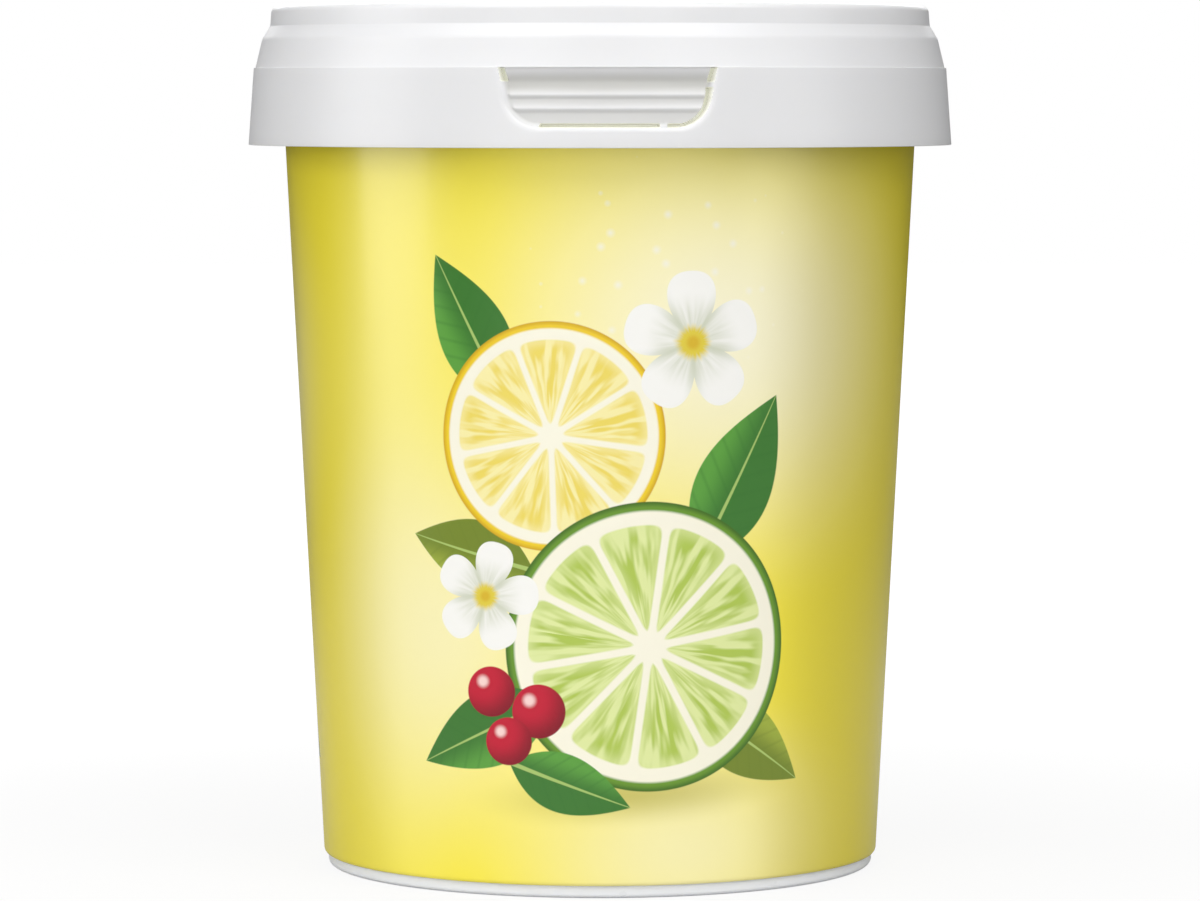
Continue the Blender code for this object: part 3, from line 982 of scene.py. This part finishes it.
@dataclass
class TearTab:
    """The window in the lid's skirt and the ribbed tab in it, in arc and height on the skirt.

    The window is a round-cornered trapezoid that opens upwards. Depths are measured inwards from the
    skirt's own line. The tab's face dips from its top into a hollow and comes forward again below it.
    """

    top: float = 133.92 * MM
    bottom: float = 124.4 * MM
    corner_x: float = 11.1 * MM
    corner_radius: float = 5.8 * MM
    tilt: float = math.radians(11.5)
    lip: float = 0.9 * MM
    lip_depth: tuple[float, float] = (0.2 * MM, 0.55 * MM)
    lip_span: tuple[float, float] = (131.5 * MM, 126.5 * MM)
    side_gap: float = 0.95 * MM
    foot_gap: float = 0.5 * MM
    thickness: float = 1.0 * MM
    top_depth: float = 0.32 * MM
    hollow: float = 1.2 * MM
    lower_depth: float = 0.9 * MM
    hollow_z: float = 131.4 * MM
    level_z: float = 128.6 * MM
    rib_height: float = 0.34 * MM
    rib_slope: float = 1.4 * MM
    rib_undercut: float = 0.9 * MM
    rib_swell: float = 2.2
    rib_start: float = 0.35 * MM
    rib_fade: float = 0.7 * MM
    ribs: tuple[float, float] = (129.65 * MM, 127.45 * MM)
    blend: float = 0.8 * MM
    edge: float = 0.25 * MM
    slot_depth: float = 1.0 * MM
    slot_share: float = 0.95
    steep: float = 0.3 * MM
    overlap: float = 0.3 * MM
    web_blend: float = 0.3 * MM
    bridge_blend: float = 0.2 * MM
    web_end: float = -11.0 * MM
    foot_bridge: tuple[float, float] = (8.3 * MM, 9.6 * MM)
    side_bridge_z: tuple[float, float] = (130.6 * MM, 131.6 * MM)
    side_bridge_x: tuple[float, float] = (16.2 * MM, 18.1 * MM)
    slot_edge: float = 0.1 * MM

    def inset(self, x: np.ndarray, z: np.ndarray, growth: float = 0, drop: float = 0) -> np.ndarray:
        """Distance inside the window's sides and foot, once it is grown outwards and dropped."""
        radius = self.corner_radius + growth
        px = np.abs(x) - self.corner_x
        pz = z - (self.bottom + self.corner_radius - drop)
        side = px * math.cos(self.tilt) - pz * math.sin(self.tilt) - radius
        foot = -pz - radius
        at_corner = (px > 0) & (px * math.sin(self.tilt) + pz * math.cos(self.tilt) < 0)
        return -np.where(at_corner, np.hypot(px, pz) - radius, np.maximum(side, foot))

    def within_tab(self, x: np.ndarray, z: np.ndarray) -> np.ndarray:
        """Distance inside the tab with its web and bridges."""
        low, high = self.side_bridge_z
        plain = self.inset(x, z, -self.side_gap, self.side_gap - self.foot_gap)
        web = np.minimum.reduce([self.inset(x, z, self.overlap), self.web_end - x, high - z])
        start, end = self.foot_bridge
        foot = np.minimum.reduce([x - start, end - x, self.bottom + self.foot_gap + self.overlap - z])
        near, far = self.side_bridge_x
        side = np.minimum.reduce([np.abs(x) - near, far - np.abs(x), z - low, high - z])
        solid = blended_most(plain, web, self.web_blend)
        for bridge in (foot, side):
            solid = blended_most(solid, bridge, self.bridge_blend)
        return solid

    def rim_depth(self, z: np.ndarray) -> np.ndarray:
        """Depth of the window's rounded rim, which grows downwards."""
        (shallow, deep), (start, end) = self.lip_depth, self.lip_span
        return shallow + (deep - shallow) * ease((start - z) / (start - end))

    def face_depth(self, z: np.ndarray) -> np.ndarray:
        """Depth of the tab's face inside the skirt's line, before its ribs."""
        cove = ease((self.top - z) / (self.top - self.hollow_z))
        level = ease((self.hollow_z - z) / (self.hollow_z - self.level_z))
        return np.where(z > self.hollow_z, self.top_depth + (self.hollow - self.top_depth) * cove,
                        self.hollow + (self.lower_depth - self.hollow) * level)

    def rib(self, z: np.ndarray) -> np.ndarray:
        """How far the grip ribs stand out: each swells to a ledge and is undercut below it."""
        height = np.zeros_like(z)
        for crest in self.ribs:
            above = z - crest
            swell = np.clip(1 - above / self.rib_slope, 0, 1) ** self.rib_swell
            under = ease(1 - np.clip(-above / self.rib_undercut, 0, 1))
            height = np.maximum(height, self.rib_height * np.minimum(swell, under))
        return height

    def outer(self, x: np.ndarray, z: np.ndarray) -> np.ndarray:
        """Depth of the skirt's outer face inside its own line."""
        inset, within, rim = self.inset(x, z), self.within_tab(x, z), self.rim_depth(z)
        ribs = self.rib(z) * ease((inset - self.rib_start) / self.rib_fade)
        face = self.face_depth(z) - ribs + quarter_round(within, self.edge, self.edge)
        face = rim + (face - rim) * ease(inset / self.blend)
        deep = self.face_depth(z) + self.thickness * self.slot_share
        cut = np.where(inset < self.slot_edge, self.slot_depth, deep)
        inside = np.where(within > 0, face, cut)
        return np.where(inset <= 0, quarter_round(-inset, self.lip, rim), inside)

    def inner(self, x: np.ndarray, z: np.ndarray, wall: float) -> np.ndarray:
        """Depth of the skirt's inner face inside the skirt's own line."""
        share = ease((self.inset(x, z) + 0.5 * MM) / MM)
        return wall + (self.face_depth(z) + self.thickness - wall) * share

    def slot_rim(self, x: np.ndarray, z: np.ndarray) -> np.ndarray:
        """Which cells of a grid stand steeply round a slot."""
        def four(values: np.ndarray) -> np.ndarray:
            """The values at the four corners of each cell."""
            beside = np.roll(values, -1, axis=1)
            return np.stack((values[:-1], values[1:], beside[:-1], beside[1:]))

        depth, bare = four(self.outer(x, z)), four(self.within_tab(x, z) < 0)
        return (np.ptp(depth, axis=0) > self.steep) & bare.any(axis=0)

    def open(self, x: np.ndarray, z: np.ndarray) -> np.ndarray:
        """Where the slot goes right through."""
        return ((self.inset(x, z) > self.slot_edge) & (self.within_tab(x, z) < -self.slot_edge)
                & (z < self.top - self.slot_edge))


@dataclass
class Lid:
    """The press-on lid: sunk panel, stacking ring, shoulder, and a skirt with a tear-open tab."""

    panel: float = 140.6 * MM
    panel_under: float = 139.5 * MM
    panel_radius: float = 49.0 * MM
    disc_radius: float = 43.5 * MM
    disc_rise: float = 0.35 * MM
    disc_bevel: float = 0.6 * MM
    gate_radius: float = 2.4 * MM
    gate_drop: float = 0.3 * MM
    gate_bevel: float = 0.3 * MM
    ring_inner: float = 50.5 * MM
    ring_outer: float = 55.05 * MM
    ring_edge: float = 1.1 * MM
    ring_foot: tuple[float, float] = (55.3 * MM, 140.9 * MM)
    shoulder: tuple[float, float] = (56.62 * MM, 138.8 * MM)
    step: tuple[float, float] = (57.8 * MM, 133.9 * MM)
    skirt_top: float = 58.08 * MM
    wall: float = 1.05 * MM
    channel: tuple[float, float] = (51.5 * MM, 54.05 * MM)
    channel_top: float = 142.45 * MM
    zone_foot: float = 123.2 * MM
    row_pitch: float = 0.15 * MM
    middle_pitch: float = 0.5 * MM
    fine_zone: tuple[float, float] = (8.0 * MM, 19.1 * MM)
    fine_pitch: float = 0.125 * MM
    pitch_growth: float = 1.35
    wide_pitch: float = 2.5 * MM
    arc_radius: float = 58.6 * MM
    colour: Colour = ink(225, 225, 226)
    # painted glow on the sides of the slots, standing in for light through the translucent plastic
    glow: Colour = (0.24, 0.24, 0.18)
    tab: TearTab = field(default_factory=TearTab)

    def skirt(self, z: np.ndarray | float) -> np.ndarray | float:
        """Radius of the skirt's outer line at a height."""
        low, reach = Solid.LID.low.z, Solid.LID.high.x
        return reach + (z - low) / (self.step[1] - low) * (self.skirt_top - reach)

    def upper(self) -> Outline:
        """Section from the middle of the panel to the top of the skirt."""
        top = Solid.LID.high.z
        step_r, step_z = self.step
        return rounded([
            (0, self.panel - self.gate_drop, 0),
            (self.gate_radius, self.panel - self.gate_drop, 0.2 * MM),
            (self.gate_radius + self.gate_bevel, self.panel + self.disc_rise, 0.2 * MM),
            (self.disc_radius, self.panel + self.disc_rise, 0.3 * MM),
            (self.disc_radius + self.disc_bevel, self.panel, 0.3 * MM),
            (self.panel_radius, self.panel, 0.8 * MM),
            (self.ring_inner, top, self.ring_edge),
            (self.ring_outer, top, self.ring_edge),
            (*self.ring_foot, 0.35 * MM),
            (*self.shoulder, 2.6 * MM),
            (step_r, step_z + 0.03 * MM, 0.02 * MM),
            (self.skirt_top - 0.02 * MM, step_z + 0.02 * MM, 0),
        ])

    def hem(self) -> Outline:
        """Section round the skirt's lower edge, from its outer face to its inner face."""
        low, reach = Solid.LID.low.z, Solid.LID.high.x
        start, end = self.zone_foot - 0.3 * MM, self.zone_foot - 0.5 * MM
        return rounded([
            (self.skirt(start), start, 0),
            (reach, low, 0.14 * MM),
            (reach - self.wall, low, 0.3 * MM),
            (self.skirt(end) - self.wall, end, 0),
        ], 5)

    def lower(self) -> Outline:
        """Section from the inner top of the skirt to the middle of the panel's underside."""
        _, foot_z = self.ring_foot
        shoulder_r, shoulder_z = self.shoulder
        channel_inner, channel_outer = self.channel
        return rounded([
            (self.step[0] - self.wall + 0.05 * MM, self.step[1] + 0.5 * MM, 0),
            (shoulder_r - self.wall * 0.8, shoulder_z - self.wall, 1.6 * MM),
            (channel_outer, foot_z - self.wall, 0.3 * MM),
            (channel_outer, self.channel_top, 0.4 * MM),
            (channel_inner, self.channel_top, 0.4 * MM),
            (channel_inner, self.panel_under, 0.2 * MM),
            (0, self.panel_under, 0),
        ], 5)

    def arcs(self) -> np.ndarray:
        """Arc position of each column, close together beside the tab and spread out elsewhere."""
        start, here = self.fine_zone
        half = spaced(0, start, self.middle_pitch)[1:] + spaced(start, here, self.fine_pitch)
        pitch = self.fine_pitch
        while pitch < self.wide_pitch:
            half.append(here)
            pitch *= self.pitch_growth
            here += pitch
        end = math.pi * self.arc_radius
        half += spaced(here, end, self.wide_pitch)
        return np.array([-x for x in reversed(half)] + [0.0] + half + [end])

    def build(self) -> bpy.types.Object:
        """Makes and dresses the lid."""
        arcs = self.arcs()
        zone = np.array([*spaced(self.step[1], self.zone_foot, self.row_pitch), self.zone_foot])
        x, z = np.meshgrid(arcs, zone)
        outer = self.skirt(z) - self.tab.outer(x, z)
        inner = self.skirt(z) - self.tab.inner(x, z, self.wall)
        flat = np.zeros_like(arcs)
        plain = [tuple(np.array(part)[:, None] + flat for part in zip(*outline))
                 for outline in (self.upper(), self.hem(), self.lower())]
        upper, hem, lower = plain
        radius = np.vstack((upper[0], outer, hem[0], inner[::-1], lower[0]))
        height = np.vstack((upper[1], z, hem[1], z[::-1], lower[1]))
        skin = Skin(radius, height, arcs / self.arc_radius)
        rows, columns = len(zone), len(arcs)
        first = len(upper[0]) - 1
        back = first + 2 * rows + len(hem[0]) - 1
        hole = self.tab.open(x, z)
        hole = hole[:-1] & hole[1:]
        hole = hole & np.roll(hole, -1, axis=1)
        kept = np.ones((radius.shape[0] - 3, columns), bool)
        kept[first:first + rows - 1] &= ~hole
        kept[back - rows + 1:back] &= ~hole[::-1]
        faces = skin.faces(kept)
        walls = self.slot_walls(hole, first, back, columns)
        piece = make_piece("lid_shell", skin.points(), faces + walls, 38)
        self.dress(piece)
        # the slot rims and walls get the second finish, with its painted glow
        lit = np.zeros_like(kept)
        lit[first:first + rows - 1] = self.tab.slot_rim(x, z)
        for index in [*np.flatnonzero(lit[kept]), *range(len(faces), len(faces + walls))]:
            piece.data.polygons[int(index)].material_index = 1
        return piece

    def dress(self, piece: bpy.types.Object) -> None:
        """Gives the piece its plain finish and, second, one with a painted glow for the sides of the slots.
        """
        low, top = Solid.LID.low.z, self.step[1]
        slope = (self.skirt(top) - self.skirt(low)) / (top - low)
        foot = self.skirt(low) - slope * low
        for name, glow in (("white_lid_plastic", (0, 0, 0)), ("lid_plastic_painted_glow", self.glow)):
            LidPlastic(name, self.colour, glow=glow, skirt_foot=foot, skirt_slope=slope,
                       skirt_top=top).dress(piece)

    def slot_walls(self, hole: np.ndarray, first: int, back: int, columns: int) -> list[list[int]]:
        """Walls of the slots, between the outer and the inner face.

        Args:
            hole: Whether each cell of the zone is open, by row and column.
            first: Mesh row of the zone's first row on the outer face.
            back: Mesh row of the same row on the inner face.
            columns: Columns in the mesh.

        Returns:
            The faces.
        """
        def wall(ends: tuple[tuple[int, int], tuple[int, int]]) -> list[int]:
            """The face between the two skins along one side of a cell."""
            (r0, c0), (r1, c1) = ends
            return [(first + r0) * columns + c0, (first + r1) * columns + c1,
                    (back - r1) * columns + c1, (back - r0) * columns + c0]

        faces = []
        for row, column in zip(*np.nonzero(hole)):
            row, column = int(row), int(column)
            if row == 0 or not hole[row - 1, column]:
                faces.append(wall(((row, column), (row, column + 1))))
            if not hole[row + 1, column]:
                faces.append(wall(((row + 1, column), (row + 1, column + 1))))
            if not hole[row, column - 1]:
                faces.append(wall(((row, column), (row + 1, column))))
            if not hole[row, column + 1]:
                faces.append(wall(((row, column + 1), (row + 1, column + 1))))
        return faces


# Studio


@dataclass(frozen=True)
class Softbox:
    """A soft white rectangular light, aimed at the middle of the tub.

    Its azimuth is in degrees to the right of the front, as seen from there, and its elevation is in
    degrees above its target.
    """

    name: str
    azimuth: float
    elevation: float
    distance: float
    size: tuple[float, float]
    radiance: float

    def hang(self, target: Vector) -> None:
        """Adds the light."""
        azimuth, elevation = math.radians(self.azimuth), math.radians(self.elevation)
        towards = Vector((math.sin(azimuth) * math.cos(elevation),
                          -math.cos(azimuth) * math.cos(elevation), math.sin(elevation)))
        lamp = bpy.data.lights.new(self.name, "AREA")
        lamp.shape = "RECTANGLE"
        lamp.size, lamp.size_y = self.size
        lamp.energy = self.radiance * self.size[0] * self.size[1] * math.pi
        holder = bpy.data.objects.new(self.name, lamp)
        holder.location = target + towards * self.distance
        holder.rotation_euler = towards.to_track_quat("Z", "Y").to_euler()
        holder.visible_camera = False
        bpy.context.scene.collection.objects.link(holder)


@dataclass(frozen=True)
class Studio:
    """A plain white floor, soft lights and a camera in front of the tub, at the height of its lid.

    The camera's angles are degrees, and its lens and sensor are millimetres. The floor looks white to
    the camera. What it casts on the tub is a dimmer paint, darker still beyond its fade.
    """

    camera_distance: float = 943.2 * MM
    camera_height: float = 130.75 * MM
    camera_pitch: float = 3.714
    camera_azimuth: float = -1.25
    lens: float = 168
    sensor: float = 36
    floor_radius: float = 3.2
    floor_sides: int = 96
    floor_drop: float = 0.02 * MM
    floor_paint: Colour = (0.45, 0.45, 0.45)
    floor_grain: Colour = (0.99, 0.99, 0.99)
    grain_scale: float = 40
    fade: tuple[float, float] = (0.15, 0.55)
    clearing: tuple[float, float] = (0.07, 0.4)
    clearing_share: float = 0.8
    floor_glow: float = 1.1
    ambient: float = 0.05
    lights: tuple[Softbox, ...] = (
        Softbox("top", 0, 82, 1.3, (1.2, 1.0), 2.2),
        Softbox("key_left", -38, 45, 1.4, (0.9, 0.8), 2.05),
        Softbox("key_right", 38, 45, 1.4, (0.9, 0.8), 2.95),
        Softbox("front", -3, 14, 1.6, (2.2, 0.8), 1.55),
        Softbox("front_low", -3, -2, 1.5, (3.0, 0.3), 2.05),
        Softbox("left", -80, 16, 0.7, (0.4, 0.5), 2.8),
        Softbox("right", 65, 4, 1.3, (0.7, 1.2), 1.5),
        Softbox("back", 180, 28, 1.4, (1.2, 0.9), 2.0),
    )

    def build(self) -> None:
        """Adds the floor, the surroundings, the lights and the camera."""
        middle = (CAD_BOX[0] + CAD_BOX[1]) / 2
        for light in self.lights:
            light.hang(middle)
        self._floor()
        self._surroundings()
        self._camera()
        bpy.context.scene.view_settings.view_transform = "Standard"

    def _floor(self) -> None:
        """Adds the floor, a wide disc."""
        angle = np.linspace(0, FULL_TURN, self.floor_sides, endpoint=False)
        rim = np.stack((np.cos(angle), np.sin(angle), 0 * angle), axis=-1) * self.floor_radius
        floor = make_piece("floor", rim - (0, 0, self.floor_drop), [list(range(self.floor_sides))], 30)
        material, sheet = new_material("floor_paint")
        point = sheet.object_point()
        reach = sheet.length(point)
        near = sheet.shade(self.floor_paint, self.floor_grain, sheet.noise(point, self.grain_scale, 2))
        matte = sheet.add("ShaderNodeBsdfDiffuse", sockets={
            "Color": sheet.shade(near, self.floor_paint, sheet.ramp(reach, *self.fade))})
        seen = sheet.add("ShaderNodeLightPath", output="Is Camera Ray")
        away = sheet.ramp(reach, *self.clearing, low=self.clearing_share)
        glow = sheet.add("ShaderNodeEmission", sockets={"Color": WHITE, "Strength": self.floor_glow})
        both = sheet.add("ShaderNodeMixShader", sockets={0: seen * away, 1: matte, 2: glow})
        sheet.add("ShaderNodeOutputMaterial", sockets={"Surface": both})
        floor.data.materials.append(material)

    def _surroundings(self) -> None:
        """Makes the surroundings: white behind the tub, and a dim soft room in its reflections."""
        world = bpy.data.worlds.new("soft_room")
        world.use_nodes = True
        bpy.context.scene.world = world
        sheet = NodeSheet(world.node_tree)
        seen = sheet.add("ShaderNodeLightPath", output="Is Camera Ray")
        room = sheet.add("ShaderNodeBackground", sockets={"Color": WHITE, "Strength": self.ambient})
        white = sheet.add("ShaderNodeBackground", sockets={"Color": WHITE, "Strength": 1.0})
        both = sheet.add("ShaderNodeMixShader", sockets={0: seen, 1: room, 2: white})
        sheet.add("ShaderNodeOutputWorld", sockets={"Surface": both})

    def _camera(self) -> None:
        """Adds the camera."""
        azimuth, pitch = math.radians(self.camera_azimuth), math.radians(self.camera_pitch)
        lens = bpy.data.cameras.new("camera")
        lens.lens = self.lens
        lens.sensor_width = self.sensor
        lens.clip_start, lens.clip_end = 0.01, 50
        camera = bpy.data.objects.new("camera", lens)
        camera.location = (math.sin(azimuth) * self.camera_distance,
                           -math.cos(azimuth) * self.camera_distance, self.camera_height)
        camera.rotation_euler = (math.pi / 2 - pitch, 0, azimuth)
        bpy.context.scene.collection.objects.link(camera)
        bpy.context.scene.camera = camera


def settle(piece: bpy.types.Object, solid: Solid) -> None:
    """Puts the piece on its body in place of its solid, and reports it."""
    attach(piece, ROOT)
    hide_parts(solid.value)
    LOG.info("%s: %d faces, in place of %s", piece.name, len(piece.data.polygons), solid.value)


def main() -> None:
    """Builds the tub, its label and its lid, and the studio round them."""
    logging.basicConfig(level=logging.INFO, format="%(name)s: %(message)s")
    tub = Tub()
    settle(tub.build(), Solid.TUB)
    settle(Label().build(tub), Solid.LABEL)
    settle(Lid().build(), Solid.LID)
    Studio().build()


if __name__ == "__main__":
    main()
